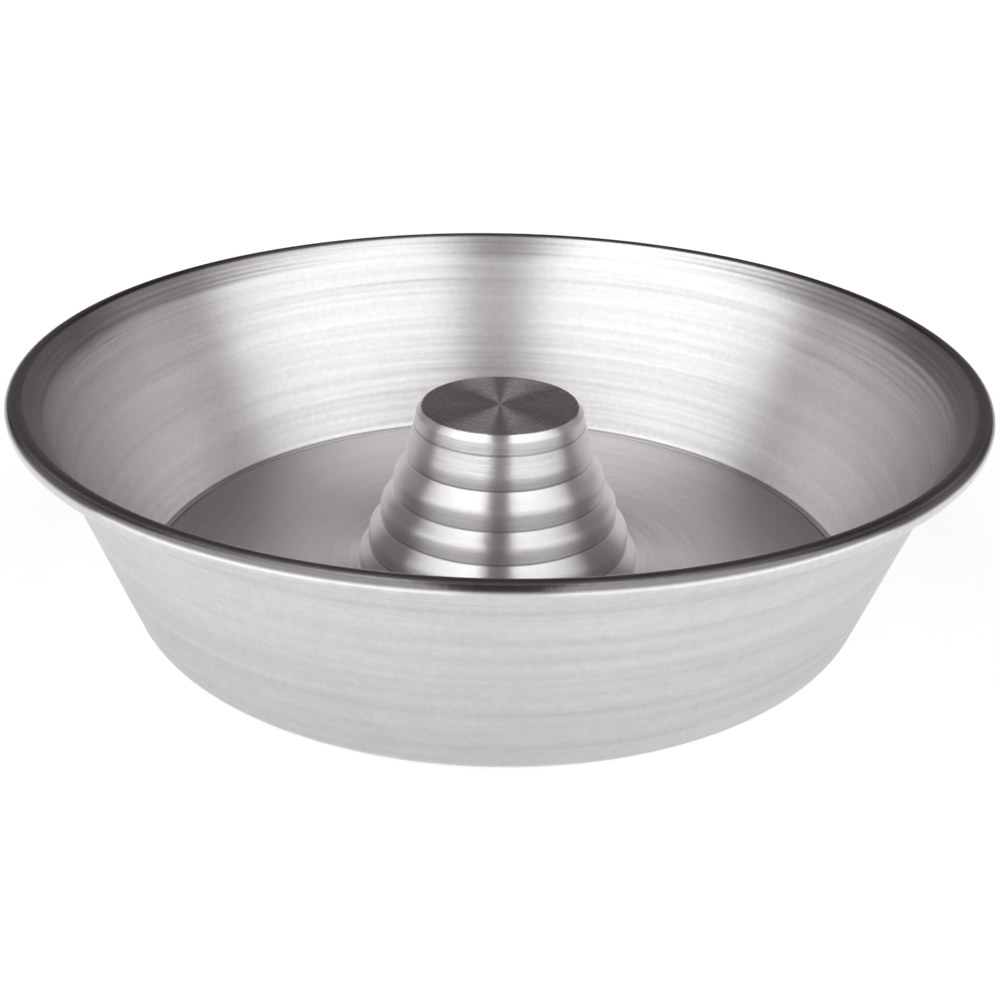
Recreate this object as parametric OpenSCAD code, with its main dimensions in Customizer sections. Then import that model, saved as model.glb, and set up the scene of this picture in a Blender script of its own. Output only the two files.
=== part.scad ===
// Angel food cake pan of spun sheet aluminium, with a loose base that lifts out.
// The shell is a flared ring with a wired rim and a bottom ledge. The base plate
// rests on the ledge and carries a closed, stepped centre cone.
// Origin: centre of the foot ring on the table. +Z runs up the axis of the pan.
// Every piece is a sheet profile, drawn in the plane of radius and height and turned
// about the axis. All sizes are millimetres.

/* [Pan shell] */
// Outer diameter over the rolled rim
rim_d = 260; // [256:1:270]
// Height from the table to the top of the rim
pan_h = 65; // [62:0.5:75]
// Diameter where the line of the outer wall would meet the table
base_d = 203; // [198:1:206]
// How far the rolled lip stands out beyond the line of the outer wall
lip_w = 6; // [5.6:0.1:7]
// Thickness of the shell's sheet
sheet_t = 1; // [0.8:0.05:1.2]
// Outside radius of the corner between wall and foot
corner_r = 7.4; // [6.6:0.1:8.4]
// Rise of the lip above level, where it runs up into the rolled rim
lip_slope = 50; // [44:1:54]
// Radius under the lip, where the wall turns outward
lip_round = 9; // [5:0.5:12]
// Width of the foot ring, from the line of the wall inward along the table
foot_w = 10; // [9:0.1:12]
// Width of the ledge, from the foot ring's inner edge to the opening inside it
ledge_w = 6.5; // [4:0.1:12]
// Height of the ledge's underside above the table
foot_lift = 1.3; // [1:0.1:1.6]
// Radius of the two small bends between foot ring and ledge
joggle_round = 0.6; // [0.3:0.05:0.8]
// Angle that the rim's curl wraps round the wire
curl_wrap = 276; // [255:1:284]

/* [Rim wire] */
// Diameter of the stiffening wire inside the rolled rim
wire_d = 3.3; // [2.8:0.1:3.6]
// Gap between the wire and the curl round it
wire_gap = 0.05; // [0.03:0.01:0.1]

/* [Base plate] */
// Thickness of the loose base plate
plate_t = 1; // [0.8:0.05:1.3]
// Gap between the plate's edge and the shell's rounded corner
edge_gap = 0.3; // [0.25:0.05:0.6]
// Rounding of the plate's upper edge
edge_round = 0.35; // [0.2:0.05:0.5]
// Height of the collar inside the cone's foot, above the plate
collar_h = 2.2; // [1.8:0.1:2.4]
// Radius where the plate turns up into the collar
collar_round = 0.6; // [0.4:0.05:0.8]
// Gap between the collar and the inside of the cone
collar_gap = 0.05; // [0.03:0.01:0.1]

/* [Centre cone] */
// Thickness of the cone's sheet
cone_t = 0.8; // [0.7:0.05:0.9]
// Diameter of the cone's flat top
top_d = 43.8; // [41.5:0.1:44.5]
// Outside radius of the flat top's edge
top_edge = 1.1; // [1:0.1:1.4]
// How far the sloping edge below the flat top stands out
top_w = 1.5; // [1.1:0.1:1.7]
// Height over which that edge slopes outward
top_drop = 1.7; // [1.4:0.1:2.2]
// Outside radius where that edge turns down into step 1
top_round = 1.8; // [1.5:0.1:2.2]
// Width of the flange round the cone's foot
flange_w = 2.9; // [2.2:0.1:5]
// Radius between the last step and the flange
foot_round = 0.6; // [0.4:0.05:0.8]
// Largest outside radius of a step's shoulder
shoulder_round = 4; // [2:0.1:4.2]
// Radius in the crease between two steps
crease_round = 0.5; // [0.25:0.05:0.6]
// How far the middle of a step bulges beyond its ends
bulge = 0.3; // [0.15:0.05:0.4]
// Largest outside radius of that bulge
bulge_round = 9; // [4:0.5:12]

/* [Cone steps] */
// How far step 1, at the top, stands out beyond the flat top
step1_w = 2.1; // [1.9:0.1:2.6]
// How far step 2 stands out beyond step 1
step2_w = 2.3; // [1.8:0.1:2.8]
// How far step 3 stands out beyond step 2
step3_w = 3.7; // [3:0.1:4.2]
// How far step 4 stands out beyond step 3
step4_w = 3.8; // [3:0.1:4.2]
// How far step 5 stands out beyond step 4
step5_w = 3.6; // [3:0.1:4.2]
// How far step 6, at the foot, stands out beyond step 5
step6_w = 2.9; // [2.4:0.1:3.2]
// Height over which the tread of step 2 falls outward
step2_drop = 5.4; // [4:0.1:6]
// Height over which the tread of step 3 falls outward
step3_drop = 4.7; // [3.5:0.1:5.5]
// Height over which the tread of step 4 falls outward
step4_drop = 3; // [2.6:0.1:4]
// Height over which the tread of step 5 falls outward
step5_drop = 3.4; // [2.8:0.1:4]
// Height over which the tread of step 6 falls outward
step6_drop = 3.1; // [2.5:0.1:3.4]
// Height of step 1
step1_h = 5.4; // [5:0.1:7]
// Height of step 2
step2_h = 9.3; // [8.4:0.1:12]
// Height of step 3
step3_h = 10.2; // [9.2:0.1:12]
// Height of step 4
step4_h = 8.1; // [7.6:0.1:12]
// Height of step 5
step5_h = 7.9; // [7.4:0.1:12]
// Height of step 6, above the base plate
step6_h = 6.9; // [6.6:0.1:9]

/* [Hidden] */

// Largest angle between neighbouring points of an arc in a profile
arc_step = 12;
// Sides of a full turn
$fn = 180;

// Shell: the outer wall's line, its lean from upright and the middle of its sheet
rim_r = rim_d / 2;
base_r = base_d / 2;
mouth_r = rim_r - lip_w;
wall_lean = atan((mouth_r - base_r) / pan_h);
function wall_mid_r(z) = base_r + (mouth_r - base_r) * z / pan_h - sheet_t / 2 / cos(wall_lean);

// Rim: the curl closes round the wire and touches the outer diameter and the top
curl_in_r = wire_d / 2 + wire_gap;
curl_r = curl_in_r + sheet_t;
wire_ring_r = rim_r - curl_r;
wire_z = pan_h - curl_r;

// Ledge: its underside and top, and the corner in which the base plate nests
ledge_z = foot_lift + sheet_t;
foot_in_r = base_r - foot_w;
ledge_in_r = foot_in_r - ledge_w;
corner_mid_r = corner_r - sheet_t / 2;
corner_vertex_r = wall_mid_r(sheet_t / 2);
corner_x = corner_vertex_r - corner_mid_r * tan((90 - wall_lean) / 2);
corner_in_r = corner_r - sheet_t;

// Base: the plate lies on the ledge and the cone's flange lies on the plate
plate_z = ledge_z;
floor_z = plate_z + plate_t;

// Cone steps from the top down: the outside radius and the level where each ends
step_w = [step1_w, step2_w, step3_w, step4_w, step5_w, step6_w];
step_h = [step1_h, step2_h, step3_h, step4_h, step5_h, step6_h];
step_drop = [top_drop, step2_drop, step3_drop, step4_drop, step5_drop, step6_drop];
last_step = len(step_w) - 1;
function sum_to(v, i) = i < 0 ? 0 : v[i] + sum_to(v, i - 1);
step_r = [for (i = [0 : last_step]) top_d / 2 + sum_to(step_w, i)];
top_z = floor_z + sum_to(step_h, last_step);
function step_foot_z(i) = top_z - sum_to(step_h, i);
collar_r = step_r[last_step] - cone_t - collar_gap;

// Direction and turning of the straight runs of a path
function heading(a, b) = let (d = [b[0] - a[0], b[1] - a[1]]) d / norm(d);
function left_of(d) = [-d[1], d[0]];
function turned(d, angle) = [d[0] * cos(angle) - d[1] * sin(angle), d[0] * sin(angle) + d[1] * cos(angle)];
function turn_angle(d1, d2) = atan2(d1[0] * d2[1] - d1[1] * d2[0], d1[0] * d2[0] + d1[1] * d2[1]);

// Points along one side of a bend: it starts at a point of the sheet's middle line with
// a heading, turns by an angle, and keeps its middle line at radius r. A positive side
// lies to the left of the path.
function bend_side(start, d, angle, r, side) =
    let (s = sign(angle), centre = start + s * r * left_of(d), n = ceil(abs(angle) / arc_step))
    [for (k = [0 : n]) centre - s * (r - s * side) * left_of(turned(d, angle * k / n))];

// Points along one side of a sheet whose middle line runs through corners [x, z, r],
// where r is the small radius of the bend at that corner
function corner_side(path, i, t, side) =
    let (d1 = heading(path[i - 1], path[i]), d2 = heading(path[i], path[i + 1]), a = turn_angle(d1, d2),
        r = path[i][2] + t / 2, start = [path[i][0], path[i][1]] - d1 * r * tan(abs(a) / 2))
    bend_side(start, d1, a, r, side);
function end_point(path, i, d, side) = [path[i][0], path[i][1]] + side * left_of(d);
function sheet_side(path, t, side, curl) =
    let (last = len(path) - 1, d = heading(path[last - 1], path[last]))
    concat([end_point(path, 0, heading(path[0], path[1]), side)],
        [for (i = [1 : last - 1]) each corner_side(path, i, t, side)],
        curl[0] == 0
            ? [end_point(path, last, d, side)]
            : bend_side([path[last][0], path[last][1]], d, curl[0], curl[1], side));
function reversed(points) = [for (i = [len(points) - 1 : -1 : 0]) points[i]];

// The cut section of a sheet of thickness t along a path, which may end in a curl
// given as [angle, radius of its middle line]
module sheet_section(path, t, curl = [0, 0])
    polygon(concat(sheet_side(path, t, t / 2, curl), reversed(sheet_side(path, t, -t / 2, curl))));

// The largest small radius, up to the wanted one, whose bend fits into a run of sheet
function fitted_round(wanted, t, run, angle) = min(wanted, run / tan(angle / 2) - t / 2);

// Shell: from the ledge's inner edge over the joggle and the foot ring, up the wall
// and out into the lip, which slopes up to the curl round the wire
curl_mid_r = curl_r - sheet_t / 2;
lip_end_r = wire_ring_r - curl_mid_r * sin(lip_slope);
lip_end_z = wire_z + curl_mid_r * cos(lip_slope);
lip_rise = (lip_end_r - wall_mid_r(lip_end_z)) / (1 / tan(lip_slope) - tan(wall_lean));
lip_vertex_z = lip_end_z - lip_rise;
lip_run = lip_rise / sin(lip_slope);
lip_turn = 90 - wall_lean - lip_slope;
shell_path = [
    [ledge_in_r, foot_lift + sheet_t / 2],
    [foot_in_r - foot_lift, foot_lift + sheet_t / 2, joggle_round],
    [foot_in_r, sheet_t / 2, joggle_round],
    [corner_vertex_r, sheet_t / 2, corner_in_r],
    [wall_mid_r(lip_vertex_z), lip_vertex_z, fitted_round(lip_round, sheet_t, lip_run, lip_turn)],
    [lip_end_r, lip_end_z]];

module pan_shell()
    color("silver")
    rotate_extrude()
    sheet_section(shell_path, sheet_t, [-curl_wrap, curl_mid_r]);

module rim_wire()
    color("dimgray")
    rotate_extrude()
    translate([wire_ring_r, wire_z])
    circle(d = wire_d, $fn = 48);

// Base plate: a collar that locates the cone, then the flat floor. Its edge follows
// the shell's rounded corner at an even gap.
plate_path = [
    [collar_r - plate_t / 2, floor_z + collar_h],
    [collar_r - plate_t / 2, plate_z + plate_t / 2, collar_round],
    [corner_x, plate_z + plate_t / 2]];
edge_r = corner_in_r - edge_gap;
function edge_angle(z) = asin((z - corner_r) / edge_r);
edge_low = edge_angle(plate_z);
edge_high = edge_angle(floor_z - edge_round);
edge_turns = 4;
edge_top_x = corner_x + edge_r * cos(edge_high) - edge_round;
plate_edge = concat(
    [for (k = [0 : edge_turns]) let (a = edge_low + (edge_high - edge_low) * k / edge_turns)
        [corner_x + edge_r * cos(a), corner_r + edge_r * sin(a)]],
    [for (k = [1 : edge_turns]) let (a = 90 * k / edge_turns)
        [edge_top_x + edge_round * cos(a), floor_z - edge_round + edge_round * sin(a)]]);

module base_plate()
    color("gainsboro")
    rotate_extrude()
    polygon(concat(sheet_side(plate_path, plate_t, -plate_t / 2, [0, 0]), plate_edge,
        reversed(sheet_side(plate_path, plate_t, plate_t / 2, [0, 0]))));

// Cone: flat top, its sloping edge, then for each step a crease, a tread that falls
// outward, a shoulder and a bulging riser, and at the foot a bend into the flange. The
// path runs in the middle of the sheet, half a thickness inside these outside sizes.
half_t = cone_t / 2;
function step_bulge(i) = i == 0 || i == last_step ? 0 : bulge;
function end_r(i) = step_r[i] - step_bulge(i);
function shoulder_z(i) = step_foot_z(i - 1) - step_drop[i];
function tread_turn(i) = atan((end_r(i) - end_r(i - 1)) / step_drop[i]);
function half_riser(i) = (shoulder_z(i) - step_foot_z(i)) / 2;
function riser_lean(i) = atan(step_bulge(i) / half_riser(i));
function shoulder_fit(i) =
    let (above_collar = shoulder_z(i) - half_t - floor_z - collar_h)
    i < last_step ? shoulder_round - cone_t
                  : fitted_round(shoulder_round - cone_t, cone_t, above_collar, tread_turn(i));
function bulge_fit(i) =
    let (lean = riser_lean(i), taken = (shoulder_round - half_t) * tan((tread_turn(i) - lean) / 2))
    fitted_round(bulge_round - cone_t, cone_t, half_riser(i) / cos(lean) - taken, 2 * lean);
function at(r, z, small_r) = [r - half_t, z - half_t, small_r];
function crease(i) = at(end_r(i), step_foot_z(i), crease_round);
function shoulder(i) = at(end_r(i), shoulder_z(i), shoulder_fit(i));
function middle(i) = at(step_r[i], (shoulder_z(i) + step_foot_z(i)) / 2, bulge_fit(i));

top_path = [
    [0, top_z - half_t],
    [top_d / 2 - half_t / 2, top_z - half_t, top_edge - cone_t],
    at(top_d / 2 + top_w, top_z - top_drop, top_round - cone_t),
    crease(0)];
steps_path = [for (i = [1 : last_step - 1]) each [shoulder(i), middle(i), crease(i)]];
foot_path = [
    shoulder(last_step),
    [step_r[last_step] - half_t, floor_z + half_t, foot_round],
    [step_r[last_step] + flange_w, floor_z + half_t]];

module centre_cone()
    color("lightgray")
    rotate_extrude()
    sheet_section(concat(top_path, steps_path, foot_path), cone_t);

pan_shell();
rim_wire();
base_plate();
centre_cone();
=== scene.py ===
import math
import bpy
import numpy as np
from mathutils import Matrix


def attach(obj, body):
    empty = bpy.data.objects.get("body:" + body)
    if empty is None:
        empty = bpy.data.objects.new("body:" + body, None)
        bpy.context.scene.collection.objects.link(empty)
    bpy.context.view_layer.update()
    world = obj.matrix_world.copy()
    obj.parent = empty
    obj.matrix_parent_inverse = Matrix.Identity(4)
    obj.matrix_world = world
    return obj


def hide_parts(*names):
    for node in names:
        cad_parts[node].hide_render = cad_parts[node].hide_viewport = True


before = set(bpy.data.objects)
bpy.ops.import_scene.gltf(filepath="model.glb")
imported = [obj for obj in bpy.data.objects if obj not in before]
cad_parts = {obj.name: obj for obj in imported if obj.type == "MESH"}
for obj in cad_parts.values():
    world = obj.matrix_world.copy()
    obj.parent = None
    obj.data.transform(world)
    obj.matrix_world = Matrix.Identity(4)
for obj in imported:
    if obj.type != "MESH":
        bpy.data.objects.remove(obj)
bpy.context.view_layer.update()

# The profiles of the sheets have the model's sizes, in millimetres, and are turned into meshes
MM = 1000.0  # millimetres in a metre
ARC_STEP = 5.0  # degrees between the points of a bend
TIGHT_STEP = 10.0  # the same in a bend of at most TIGHT_R
TIGHT_R = 2.0
AROUND = 384  # points round the axis
SAME_POINT = 1e-5  # two points of an outline that are nearer than this are one
SHARP = math.radians(35)


def left_of(d):
    return np.array([-d[1], d[0]])


def turned(d, degrees):
    c, s = math.cos(math.radians(degrees)), math.sin(math.radians(degrees))
    return np.array([d[0] * c - d[1] * s, d[0] * s + d[1] * c])


def bend_side(start, d, angle, r, side):
    """One side of a bend of the sheet: its middle line keeps radius r through angle."""
    s = math.copysign(1, angle)
    centre = start + s * r * left_of(d)
    step = ARC_STEP if r > TIGHT_R else TIGHT_STEP
    n = max(2, math.ceil(abs(angle) / step))
    return [centre - s * (r - s * side) * left_of(turned(d, angle * k / n)) for k in range(n + 1)]


def sheet_side(path, t, side, curl=None):
    """One side of a sheet whose middle line runs through corners (x, z, small bend radius)."""
    points = [np.array(p[:2], float) for p in path]
    heads = [(b - a) / np.linalg.norm(b - a) for a, b in zip(points, points[1:])]
    out = [points[0] + side * left_of(heads[0])]
    for i in range(1, len(path) - 1):
        d1, d2 = heads[i - 1], heads[i]
        angle = math.degrees(math.atan2(d1[0] * d2[1] - d1[1] * d2[0], d1 @ d2))
        r = path[i][2] + t / 2
        start = points[i] - d1 * r * math.tan(math.radians(abs(angle) / 2))
        out += bend_side(start, d1, angle, r, side)
    if curl:
        return out + bend_side(points[-1], heads[-1], curl[0], curl[1], side)
    return out + [points[-1] + side * left_of(heads[-1])]


def sheet_outline(path, t, curl=None):
    return sheet_side(path, t, t / 2, curl) + sheet_side(path, t, -t / 2, curl)[::-1]


def fine(outline, longest):
    """The outline with its long straight runs cut into shorter ones."""
    out = []
    for a, b in zip(outline, outline[1:] + outline[:1]):
        n = max(1, math.ceil(np.linalg.norm(b - a) / longest))
        out += [a + (b - a) * k / n for k in range(n)]
    return out


def turned_mesh(name, outline):
    """A closed outline of (radius, height) in mm, turned about the Z axis."""
    outline = [p for i, p in enumerate(outline) if np.linalg.norm(p - outline[i - 1]) > SAME_POINT]
    verts, rings = [], []
    for r, z in outline:
        if r < SAME_POINT:
            rings.append([len(verts)])
            verts.append((0, 0, z / MM))
        else:
            rings.append(list(range(len(verts), len(verts) + AROUND)))
            verts += [(r / MM * math.cos(a), r / MM * math.sin(a), z / MM)
                      for a in (2 * math.pi * k / AROUND for k in range(AROUND))]
    faces = []
    for a, b in zip(rings, rings[1:] + rings[:1]):
        if len(a) == 1 and len(b) == 1:
            continue
        for k in range(AROUND):
            n = (k + 1) % AROUND
            if len(a) == 1:
                faces.append((a[0], b[n], b[k]))
            elif len(b) == 1:
                faces.append((a[k], a[n], b[0]))
            else:
                faces.append((a[k], a[n], b[n], b[k]))
    mesh = bpy.data.meshes.new(name)
    mesh.from_pydata(verts, [], faces)
    mesh.validate()
    volume = sum(mesh.vertices[f.vertices[0]].co.dot(f.normal) * f.area for f in mesh.polygons)
    if volume < 0:
        mesh.flip_normals()
    mesh.shade_smooth()
    mesh.set_sharp_from_angle(angle=SHARP)
    obj = bpy.data.objects.new(name, mesh)
    bpy.context.scene.collection.objects.link(obj)
    return obj


# Shell
rim_r, pan_h, base_r, lip_w, sheet_t = 130.0, 65.0, 101.5, 6.0, 1.0
mouth_r = rim_r - lip_w
lean = math.atan((mouth_r - base_r) / pan_h)
wire_d, wire_gap = 3.3, 0.05
curl_r = wire_d / 2 + wire_gap + sheet_t
wire_ring_r, wire_ring_z = rim_r - curl_r, pan_h - curl_r


def wall_mid_r(z):
    return base_r + (mouth_r - base_r) * z / pan_h - sheet_t / 2 / math.cos(lean)


corner_r, foot_lift, foot_in_r, ledge_in_r, foot_round = 7.4, 1.3, 91.5, 85.0, 0.6
corner_vertex_r = wall_mid_r(sheet_t / 2)
corner_x = corner_vertex_r - (corner_r - sheet_t / 2) * math.tan(math.pi / 4 - lean / 2)
lip_slope, lip_round = math.radians(50), 9.0
curl_wrap, curl_mid_r = 276, curl_r - sheet_t / 2
lip_end_r = wire_ring_r - curl_mid_r * math.sin(lip_slope)
lip_end_z = wire_ring_z + curl_mid_r * math.cos(lip_slope)
lip_rise = (lip_end_r - wall_mid_r(lip_end_z)) / (1 / math.tan(lip_slope) - math.tan(lean))
lip_vertex_z = lip_end_z - lip_rise
shell_path = [
    (ledge_in_r, foot_lift + sheet_t / 2),
    (foot_in_r - foot_lift, foot_lift + sheet_t / 2, foot_round),
    (foot_in_r, sheet_t / 2, foot_round),
    (corner_vertex_r, sheet_t / 2, corner_r - sheet_t),
    (wall_mid_r(lip_vertex_z), lip_vertex_z, lip_round),
    (lip_end_r, lip_end_z)]
shell_outline = sheet_outline(shell_path, sheet_t, (-curl_wrap, curl_mid_r))

# Base plate
plate_t, cone_t, edge_round, edge_gap = 1.0, 0.8, 0.35, 0.3
plate_z = foot_lift + sheet_t
floor_z = plate_z + plate_t
top_r = 21.9
step_w = [2.1, 2.3, 3.7, 3.8, 3.6, 2.9]
step_h = [5.4, 9.3, 10.2, 8.1, 7.9, 6.9]
step_drop = [1.7, 5.4, 4.7, 3.0, 3.4, 3.1]
last = len(step_w) - 1
step_r = [top_r + sum(step_w[:i + 1]) for i in range(last + 1)]
collar_h, collar_gap, collar_round = 2.2, 0.05, 0.6
collar_r = step_r[last] - cone_t - collar_gap
plate_path = [
    (collar_r - plate_t / 2, floor_z + collar_h),
    (collar_r - plate_t / 2, plate_z + plate_t / 2, collar_round),
    (corner_x, plate_z + plate_t / 2)]
edge_r = corner_r - sheet_t - edge_gap
low, high = (math.asin((z - corner_r) / edge_r) for z in (plate_z, floor_z - edge_round))
edge_points, round_points = 8, 9
edge = [np.array([corner_x + edge_r * math.cos(a), corner_r + edge_r * math.sin(a)])
        for a in np.linspace(low, high, edge_points)]
top_x = edge[-1][0] - edge_round
edge += [np.array([top_x, floor_z - edge_round]) + edge_round * np.array([math.cos(a), math.sin(a)])
         for a in np.linspace(0, math.pi / 2, round_points)[1:]]
lower = sheet_side(plate_path, plate_t, -plate_t / 2)
upper = sheet_side(plate_path, plate_t, plate_t / 2)
plate_outline = lower + edge + upper[::-1]

# Centre cone
half_t = cone_t / 2
top_z = floor_z + sum(step_h)
top_edge, top_w, top_round = 1.1, 1.5, 1.8
crease_round, shoulder_round, bulge, bulge_round = 0.5, 4.0, 0.3, 9.0
flange_w, flange_round = 2.9, 0.6
foot_z = [top_z - sum(step_h[:i + 1]) for i in range(last + 1)]
end_r = [step_r[0]] + [r - bulge for r in step_r[1:last]] + [step_r[last]]


def fitted(wanted, run, angle):
    """The largest bend radius, up to the wanted one, that fits into a run of sheet."""
    return min(wanted, run / math.tan(angle / 2) - half_t)


cone_path = [
    (0, top_z - half_t),
    (top_r - half_t / 2, top_z - half_t, top_edge - cone_t),
    (top_r + top_w - half_t, top_z - step_drop[0] - half_t, top_round - cone_t),
    (end_r[0] - half_t, foot_z[0] - half_t, crease_round)]
for i in range(1, last + 1):
    shoulder_z = foot_z[i - 1] - step_drop[i]
    turn = math.atan((end_r[i] - end_r[i - 1]) / step_drop[i])
    if i == last:
        room = shoulder_z - half_t - floor_z - collar_h
        last_round = fitted(shoulder_round - cone_t, room, turn)
        cone_path += [
            (end_r[last] - half_t, shoulder_z - half_t, last_round),
            (end_r[last] - half_t, floor_z + half_t, flange_round),
            (step_r[last] + flange_w, floor_z + half_t)]
        break
    half_riser = (shoulder_z - foot_z[i]) / 2
    a = math.atan(bulge / half_riser)
    taken = (shoulder_round - half_t) * math.tan((turn - a) / 2)
    crown = fitted(bulge_round - cone_t, half_riser / math.cos(a) - taken, 2 * a)
    cone_path += [
        (end_r[i] - half_t, shoulder_z - half_t, shoulder_round - cone_t),
        (step_r[i] - half_t, (shoulder_z + foot_z[i]) / 2 - half_t, crown),
        (end_r[i] - half_t, foot_z[i] - half_t, crease_round)]
cone_outline = sheet_outline(cone_path, cone_t)


# Materials
def put(tree, value, socket):
    """Sets a socket to a number, or links it to another socket."""
    if isinstance(value, (int, float)):
        socket.default_value = value
    else:
        tree.links.new(value, socket)


def calc(tree, op, a, b=None):
    n = tree.nodes.new("ShaderNodeMath")
    n.operation = op
    put(tree, a, n.inputs[0])
    if b is not None:
        put(tree, b, n.inputs[1])
    return n.outputs[0]


def total(tree, *parts):
    """The sum of (socket, factor) pairs."""
    out = 0.0
    for value, factor in parts:
        out = calc(tree, "ADD", calc(tree, "MULTIPLY", value, factor), out)
    return out


def blend(tree, share, a, b):
    """From a, where share is 0, to b, where it is 1."""
    return calc(tree, "ADD", a, calc(tree, "MULTIPLY", share, calc(tree, "SUBTRACT", b, a)))


def levels(tree, value, *stops):
    """A curve over a value: (position, level) pairs, joined smoothly."""
    out = stops[0][1]
    for (a, low), (b, high) in zip(stops, stops[1:]):
        n = tree.nodes.new("ShaderNodeMapRange")
        n.interpolation_type = "SMOOTHSTEP"
        put(tree, value, n.inputs["Value"])
        for key, v in zip(("From Min", "From Max", "To Min", "To Max"), (a, b, 0.0, high - low)):
            n.inputs[key].default_value = v
        out = calc(tree, "ADD", n.outputs[0], out)
    return out


def clouds(tree, place, scale, detail):
    """Plain noise over a place."""
    n = tree.nodes.new("ShaderNodeTexNoise")
    n.inputs["Scale"].default_value = scale
    n.inputs["Detail"].default_value = detail
    put(tree, place, n.inputs["Vector"])
    return n.outputs["Fac"]


def mixed(tree, share, a, b):
    """A colour from a, where share is 0, to b, where it is 1; each a socket or a tuple."""
    n = tree.nodes.new("ShaderNodeMix")
    n.data_type = "RGBA"
    factor, first, second = n.inputs[0], n.inputs[6], n.inputs[7]
    for value, socket in ((share, factor), (a, first), (b, second)):
        if isinstance(value, tuple):
            socket.default_value = (*value, 1)
        else:
            put(tree, value, socket)
    return n.outputs[2]


SPREAD = 0.1  # how far a metal's base colour strays from its middle, up and down
SLOPED = 1.37  # what a millimetre of height adds to the place along a profile
LEAST_R = 1e-5  # metres; a radius that is divided by is never smaller
ROUND_AXIS = 0.25  # anisotropic rotation that lays the brushing round the axis


def spun_metal(name, colour, rough, aniso, rings, lines, grain, ripple=None, zone=None, painted_shade=None):
    """Aluminium brushed round the Z axis.

    rings and lines are (pitch mm, depth mm, tone) of the turning marks, and grain is
    (depth mm, tone). ripple is (pitch mm, depth mm, from mm, to mm) of waves that grow from
    one height to the other. zone is ("r" or "z", from mm, to mm, roughness) of a place with
    its own roughness. The last argument, a function of (tree, r mm, z mm), gives the share of the
    colour that is taken away as painted shade.
    """
    mat = bpy.data.materials.new(name)
    mat.use_nodes = True
    t = mat.node_tree
    bsdf = t.nodes["Principled BSDF"]
    bsdf.inputs["Metallic"].default_value = 1.0
    bsdf.inputs["Anisotropic"].default_value = aniso
    bsdf.inputs["Anisotropic Rotation"].default_value = ROUND_AXIS
    tangent = t.nodes.new("ShaderNodeTangent")
    tangent.direction_type = "RADIAL"
    tangent.axis = "Z"
    put(t, tangent.outputs[0], bsdf.inputs["Tangent"])

    place = t.nodes.new("ShaderNodeTexCoord").outputs["Object"]
    axes = t.nodes.new("ShaderNodeSeparateXYZ")
    put(t, place, axes.inputs[0])
    x, y, z = axes.outputs
    squares = [(calc(t, "MULTIPLY", v, v), 1.0) for v in (x, y)]
    r = calc(t, "MAXIMUM", calc(t, "SQRT", total(t, *squares)), LEAST_R)
    ux, uy = calc(t, "DIVIDE", x, r), calc(t, "DIVIDE", y, r)
    along = total(t, (r, MM), (z, SLOPED * MM))
    mm = {"r": calc(t, "MULTIPLY", r, MM), "z": calc(t, "MULTIPLY", z, MM)}

    def marks(around, pitch, detail, seed):
        """Noise that is long round the axis and short along the profile."""
        v = t.nodes.new("ShaderNodeCombineXYZ")
        put(t, calc(t, "MULTIPLY", ux, around), v.inputs[0])
        put(t, calc(t, "MULTIPLY", uy, around), v.inputs[1])
        put(t, calc(t, "ADD", calc(t, "MULTIPLY", along, 1.0 / pitch), seed), v.inputs[2])
        return clouds(t, v.outputs[0], 1.0, detail)

    line = marks(around=3.0, pitch=lines[0], detail=3.0, seed=11.0)
    ring = marks(around=0.9, pitch=rings[0], detail=1.0, seed=3.0)
    mottle = clouds(t, place, scale=160.0, detail=4.0)
    cloud = clouds(t, place, scale=22.0, detail=2.0)
    speck = clouds(t, place, scale=600.0, detail=2.0)
    height = [(ring, rings[1]), (line, lines[1]), (mottle, 0.02), (speck, grain[0])]
    tone = [(ring, rings[2]), (line, lines[2]), (mottle, 0.5), (cloud, 0.5), (speck, grain[1])]
    middle = sum(factor for _, factor in tone) / 2
    if ripple:
        pitch, depth, start, full = ripple
        wave = calc(t, "SUBTRACT", marks(around=1.6, pitch=pitch, detail=0.0, seed=7.0), 0.5)
        near_rim = calc(t, "MULTIPLY", wave, levels(t, mm["z"], (start, 0.0), (full, 1.0)))
        height.append((near_rim, depth))
        tone.append((near_rim, 0.8))
    bump = t.nodes.new("ShaderNodeBump")
    bump.inputs["Strength"].default_value = 1.0
    bump.inputs["Distance"].default_value = 1 / MM
    put(t, total(t, *height), bump.inputs["Height"])
    put(t, bump.outputs[0], bsdf.inputs["Normal"])

    worn = [(line, 0.08), (mottle, 0.06), (cloud, 0.06)]
    uneven = calc(t, "ADD", total(t, *worn), rough - sum(factor for _, factor in worn) / 2)
    if zone:
        axis, start, full, inside = zone
        where = levels(t, mm[axis], (start, 0.0), (full, 1.0))
        uneven = total(t, (uneven, 1.0), (where, inside - rough))
    put(t, uneven, bsdf.inputs["Roughness"])

    darkest, lightest = (tuple(c * k for c in colour) for k in (1 - SPREAD, 1 + SPREAD))
    tint = mixed(t, calc(t, "ADD", total(t, *tone), 0.5 - middle), darkest, lightest)
    # painted shade: the base colour is scaled down by the given share
    if painted_shade:
        scale = t.nodes.new("ShaderNodeVectorMath")
        scale.operation = "SCALE"
        put(t, tint, scale.inputs[0])
        put(t, calc(t, "SUBTRACT", 1.0, painted_shade(t, mm["r"], mm["z"])), scale.inputs["Scale"])
        tint = scale.outputs[0]
    put(t, tint, bsdf.inputs["Base Color"])
    return mat


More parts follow.
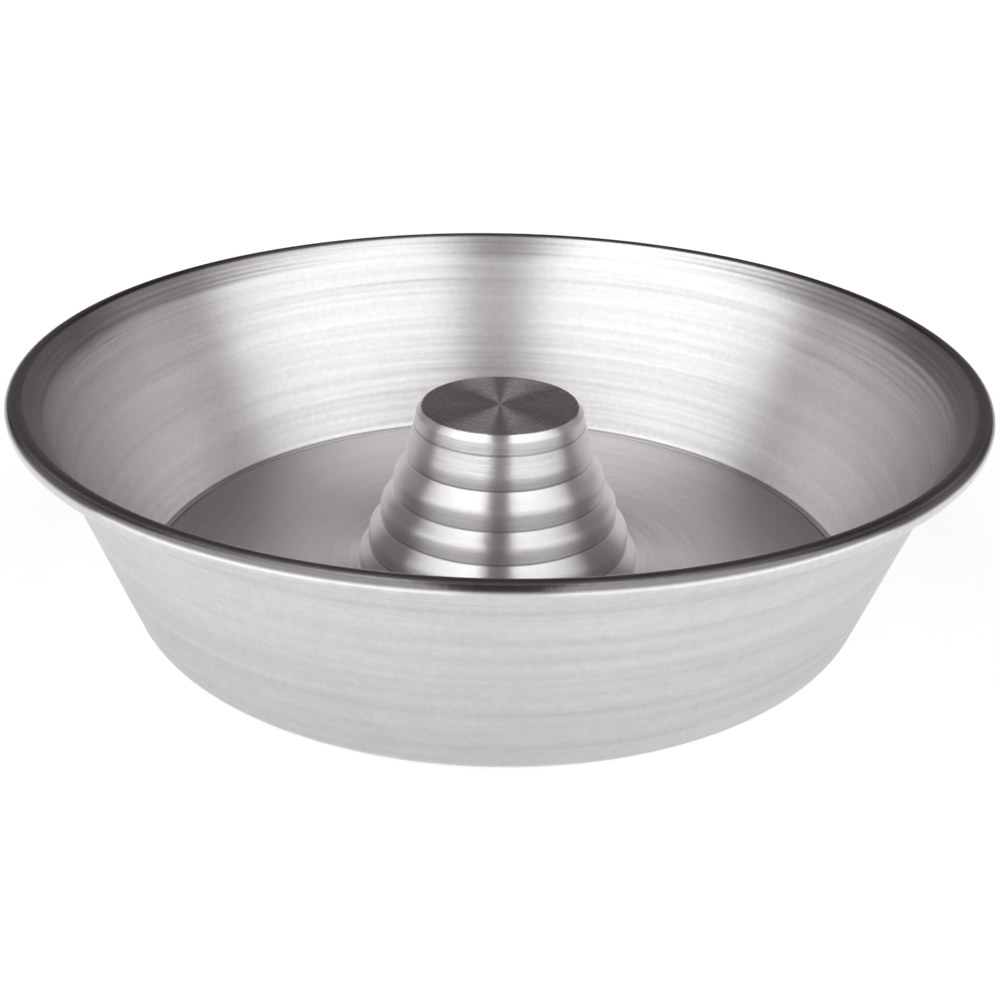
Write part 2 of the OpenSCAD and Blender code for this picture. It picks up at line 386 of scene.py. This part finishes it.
def shell_painted_shade(t, r, z):
    """Painted shade: darker toward the bottom of the outside wall, in a line where the floor meets
    the wall, under the lip inside, and on top of the rolled rim.
    """
    off_wall = calc(t, "SUBTRACT", calc(t, "SUBTRACT", r, calc(t, "MULTIPLY", z, math.tan(lean))),
                    wall_mid_r(0))
    outside = levels(t, off_wall, (-0.2, 0.0), (0.2, 1.0))
    # painted shade: the outside wall grows darker toward its bottom
    foot_shade = levels(t, z, (0.0, 0.19), (60.0, 0.03))
    # painted shade: a dark line on the wall where the floor meets it
    seam_shade = levels(t, z, (floor_z - 0.4, 0.0), (floor_z, 0.6), (floor_z + 0.3, 0.6),
                  (floor_z + 0.9, 0.0))
    # painted shade: the inside wall darker toward and under the lip
    under_lip_shade = levels(t, z, (35.0, 0.0), (58.0, 0.08))
    # painted reflection: the top of the rolled rim darkened where it mirrors dark surroundings
    above_wire = calc(t, "SUBTRACT", z, wire_ring_z)
    bead_shade = calc(t, "MULTIPLY", levels(t, r, (wire_ring_r - 1.9, 0.0), (wire_ring_r - 1.1, 1.0)),
                levels(t, above_wire, (0.5, 0.0), (1.5, 0.75), (2.15, 0.75), (2.4, 0.32)))
    return calc(t, "ADD", blend(t, outside, calc(t, "ADD", seam_shade, under_lip_shade), foot_shade), bead_shade)


def plate_painted_shade(t, r, z):
    """Painted shade: a dark line round the floor's edge, where it meets the wall."""
    return levels(t, r, (top_x - 0.5, 0.0), (top_x - 0.2, 0.5))


def cone_painted_shade(t, r, z):
    """Painted shade: a thin dark line in each crease."""
    away = [calc(t, "ABSOLUTE", calc(t, "SUBTRACT", z, height)) for height in foot_z[:last]]
    return total(t, *[(levels(t, d, (0.15, 0.33), (0.5, 0.0)), 1.0) for d in away])


shell_mat = spun_metal(
    "aluminium_shell", (0.632, 0.622, 0.625), 0.38, 0.83,
    rings=(5.0, 0.20, 1.3), lines=(0.55, 0.02, 0.4), grain=(0.018, 0.9),
    ripple=(2.4, 0.16, 36.0, 56.0),
    zone=("r", wire_ring_r - 2.1, wire_ring_r - 1.3, 0.22), painted_shade=shell_painted_shade)
base_mat = spun_metal(
    "aluminium_base", (0.668, 0.657, 0.650), 0.35, 0.95,
    rings=(4.0, 0.10, 0.8), lines=(0.7, 0.05, 0.7), grain=(0.01, 0.5), painted_shade=plate_painted_shade)
cone_mat = spun_metal(
    "aluminium_cone", (0.750, 0.740, 0.734), 0.36, 1.0,
    rings=(2.2, 0.08, 0.8), lines=(0.7, 0.08, 0.9), grain=(0.01, 0.5),
    zone=("z", top_z - 0.5, top_z - 0.2, 0.27), painted_shade=cone_painted_shade)
wire_mat = spun_metal(
    "steel_wire", (0.45, 0.45, 0.46), 0.35, 0.3,
    rings=(1.0, 0.01, 0.4), lines=(0.5, 0.01, 0.4), grain=(0.0, 0.3))

# Pieces: name, outline, longest straight run, material, node, body, slot
for name, outline, longest, mat, node, body, slot in (
        ("spun_shell", shell_outline, 6.0, shell_mat, "pan_shell", "pan", "shell"),
        ("floor_plate", plate_outline, 8.0, base_mat, "base_plate", "base", "base"),
        ("stepped_cone", cone_outline, 3.0, cone_mat, "centre_cone", "base", "cone")):
    obj = turned_mesh(name, fine(outline, longest))
    obj.data.materials.append(mat)
    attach(obj, body)
    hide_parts(node)
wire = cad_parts["rim_wire"]
wire.data.materials.clear()
wire.data.materials.append(wire_mat)

# Table
HALF_TABLE = 6.0  # metres
table_mesh = bpy.data.meshes.new("table_top")
corners = [(x * HALF_TABLE, y * HALF_TABLE, 0) for x, y in ((-1, -1), (1, -1), (1, 1), (-1, 1))]
table_mesh.from_pydata(corners, [], [(0, 1, 2, 3)])
table_top = bpy.data.objects.new("table_top", table_mesh)
bpy.context.scene.collection.objects.link(table_top)
paper = bpy.data.materials.new("white_paper")
paper.use_nodes = True
p = paper.node_tree
sheet = p.nodes["Principled BSDF"]
sheet.inputs["Roughness"].default_value = 0.9
sheet.inputs["Emission Color"].default_value = (1, 1, 1, 1)
sheet.inputs["Emission Strength"].default_value = 0.785
fibre = p.nodes.new("ShaderNodeTexNoise")
fibre.inputs["Scale"].default_value = 3.0
put(p, mixed(p, fibre.outputs["Fac"], (0.25, 0.25, 0.252), (0.26, 0.26, 0.262)),
    sheet.inputs["Base Color"])
table_mesh.materials.append(paper)

# Studio: two bright panels in front, split by a narrow dark gap, and a dark back.
# across, back and up are the parts of a direction, from -1 to 1.
PANEL_LEFT, PANEL_RIGHT = 2.3, 2.15
world = bpy.data.worlds.new("studio")
bpy.context.scene.world = world
world.use_nodes = True
w = world.node_tree
axes = w.nodes.new("ShaderNodeSeparateXYZ")
put(w, w.nodes.new("ShaderNodeTexCoord").outputs["Generated"], axes.inputs[0])
across, back, up = axes.outputs
gap_middle = levels(w, up, (0.05, 0.0), (0.2, 0.065), (0.35, 0.065), (0.6, 0.0))
off_gap = calc(w, "ABSOLUTE", calc(w, "SUBTRACT", across, gap_middle))
gap = calc(w, "MULTIPLY", levels(w, off_gap, (0.14, 1.0), (0.20, 0.0)),
           levels(w, up, (0.35, 0.48), (0.6, 0.95), (0.9, 0.92)))
panel = calc(w, "MULTIPLY", levels(w, across, (-0.2, PANEL_LEFT), (0.3, PANEL_RIGHT)),
             calc(w, "SUBTRACT", 1.0, gap))
side = calc(w, "MULTIPLY", levels(w, back, (0.40, 0.62), (0.72, 0.11)),
            levels(w, up, (0.35, 1.0), (0.65, 0.20)))
edge_shift = calc(w, "ADD", levels(w, up, (0.35, 0.0), (0.80, 0.04)),
                  levels(w, across, (-0.3, -0.035), (0.3, 0.01)))
front = levels(w, calc(w, "ADD", back, edge_shift), (-0.04, 1.0), (0.05, 0.0))
level = blend(w, front, side, panel)
warm = levels(w, level, (0.0, 0.012), (0.6, 0.05), (2.0, 0.0))
light = w.nodes.new("ShaderNodeCombineXYZ")
for value, socket in zip((calc(w, "ADD", level, warm), level, level), light.inputs):
    put(w, value, socket)
# The backdrop itself is seen as plain white
seen = w.nodes.new("ShaderNodeLightPath").outputs["Is Camera Ray"]
put(w, mixed(w, seen, light.outputs[0], (1, 1, 1)), w.nodes["Background"].inputs[0])
w.nodes["Background"].inputs[1].default_value = 1.0
bpy.context.scene.view_settings.view_transform = "Standard"

# Camera, fitted to the photo
cam_data = bpy.data.cameras.new("camera")
cam_data.sensor_width = 36.0
cam_data.lens = 52.33
cam_data.clip_start, cam_data.clip_end = 0.01, 30
camera = bpy.data.objects.new("camera", cam_data)
bpy.context.scene.collection.objects.link(camera)
bpy.context.scene.camera = camera
camera.location = (0.0, -0.37575, 0.20066)
camera.rotation_mode = "QUATERNION"
camera.rotation_quaternion = (0.845626, 0.533706, -0.005018, 0.007013)
